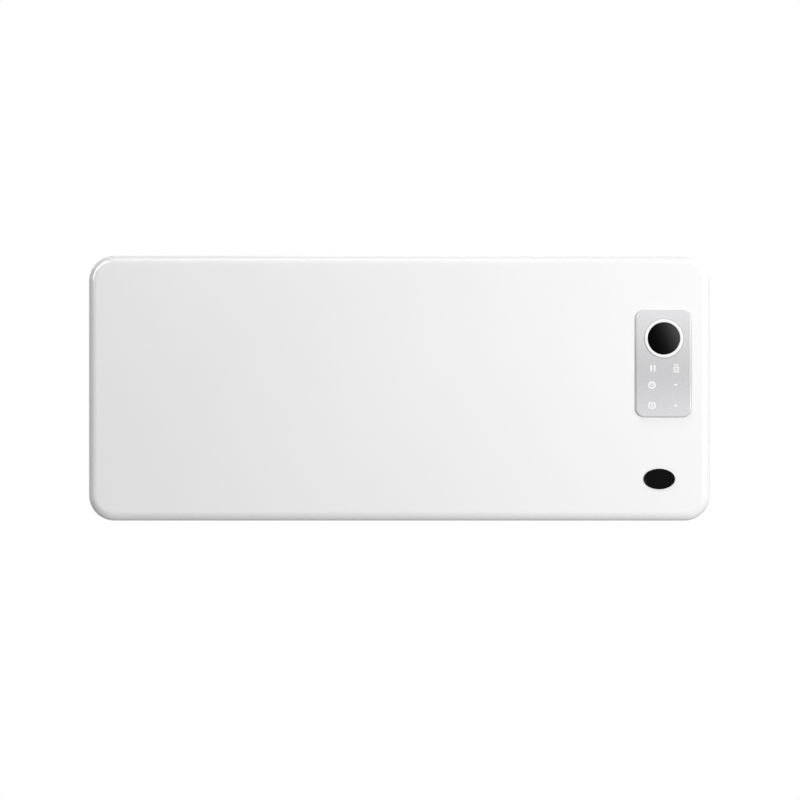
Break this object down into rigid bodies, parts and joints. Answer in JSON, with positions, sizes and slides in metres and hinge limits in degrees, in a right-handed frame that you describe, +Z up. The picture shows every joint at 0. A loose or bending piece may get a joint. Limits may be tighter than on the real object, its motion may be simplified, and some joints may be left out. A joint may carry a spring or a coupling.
{
  "type": "wall panel convector heater",
  "caption": "White steel wall panel convector heater with rounded corners, a touch control pod with a round display at its right end, and a steel wall bracket.",
  "frame": {"origin": "middle of the wall bracket's back face, level with the middle of the heater", "axes": "+X to the right as seen from the room, +Y into the wall, +Z up"},
  "size_m": [0.87, 0.0892, 0.371],
  "materials": {
    "white_enamel": "satin powder coat",
    "grille_enamel": "satin powder coat",
    "zinc_steel": "zinc plated",
    "screw_steel": "zinc plated",
    "aluminium": "as extruded",
    "black_steel": "oxidised",
    "ceramic": "unglazed",
    "white_plastic": "fine texture",
    "grey_plastic": "fine texture",
    "black_plastic": "fine texture",
    "silver_plate": "satin silver lacquer",
    "gloss_white": "gloss",
    "black_window": "gloss",
    "circuit_board": "solder mask",
    "brass": "plain",
    "red_lead": "silicone sleeve",
    "blue_lead": "silicone sleeve",
    "earth_lead": "silicone sleeve",
    "sleeve": "glass fibre sleeve"
  },
  "bodies": {
    "wall_bracket": {"bracket_upright_left": "zinc_steel", "bracket_upright_right": "zinc_steel", "bracket_cross_rail": "zinc_steel", "catch_pin_left": "screw_steel", "catch_pin_right": "screw_steel", "catch_spring_left": "screw_steel", "catch_spring_right": "screw_steel"},
    "heater": {"front_panel": "white_enamel", "rear_tray": "white_enamel", "outlet_grille": "grille_enamel", "inlet_grille": "grille_enamel", "element_bracket_left": "zinc_steel", "element_bracket_right": "zinc_steel", "element_saddle": "zinc_steel", "air_deflector": "zinc_steel", "compartment_divider": "zinc_steel", "flange_screw_1": "screw_steel", "flange_screw_2": "screw_steel", "flange_screw_3": "screw_steel", "flange_screw_4": "screw_steel", "touch_spring_left_1": "screw_steel", "touch_spring_right_1": "screw_steel", "touch_spring_left_2": "screw_steel", "touch_spring_right_2": "screw_steel", "touch_spring_left_3": "screw_steel", "touch_spring_right_3": "screw_steel", "heating_element": "aluminium", "heating_rod": "black_steel", "element_bush_left": "ceramic", "element_bush_right": "ceramic", "board_carrier": "white_plastic", "terminal_block": "white_plastic", "sensor_holder": "white_plastic", "display_module": "white_plastic", "control_housing": "grey_plastic", "ribbon_cable": "grey_plastic", "thermal_cutout": "black_plastic", "thermal_fuse": "black_plastic", "relay_1": "black_plastic", "relay_2": "black_plastic", "transformer": "black_plastic", "switch_body": "black_plastic", "cable_gland": "black_plastic", "room_sensor": "black_plastic", "control_plate": "silver_plate", "display_ring": "gloss_white", "display_window": "black_window", "badge_plate": "black_window", "power_board": "circuit_board", "touch_board": "circuit_board", "earth_stud": "brass", "relay_lead": "red_lead", "switch_lead": "red_lead", "neutral_lead": "blue_lead", "ground_lead": "earth_lead", "link_lead": "sleeve", "element_lead": "sleeve"},
    "catch_left": {"catch_left": "black_plastic"},
    "catch_right": {"catch_right": "black_plastic"},
    "switch_rocker": {"switch_rocker": "black_plastic"}
  },
  "joints": [
    {"name": "heater_lift", "type": "slide", "parent": "wall_bracket", "child": "heater", "axis": [0, 0, 1], "range_m": [0, 0.012]},
    {"name": "catch_left_press", "type": "slide", "parent": "wall_bracket", "child": "catch_left", "axis": [0, 0, -1], "range_m": [0, 0.006], "stiffness_N_per_m": 500, "springref_m": -0.004, "deforming": ["catch_spring_left"]},
    {"name": "catch_right_press", "type": "slide", "parent": "wall_bracket", "child": "catch_right", "axis": [0, 0, -1], "range_m": [0, 0.006], "stiffness_N_per_m": 500, "springref_m": -0.004, "deforming": ["catch_spring_right"]},
    {"name": "switch_rock", "type": "hinge", "parent": "heater", "child": "switch_rocker", "pos_m": [0.4218, -0.035, -0.105], "axis": [0, -1, 0], "range_deg": [0, 18]}
  ]
}
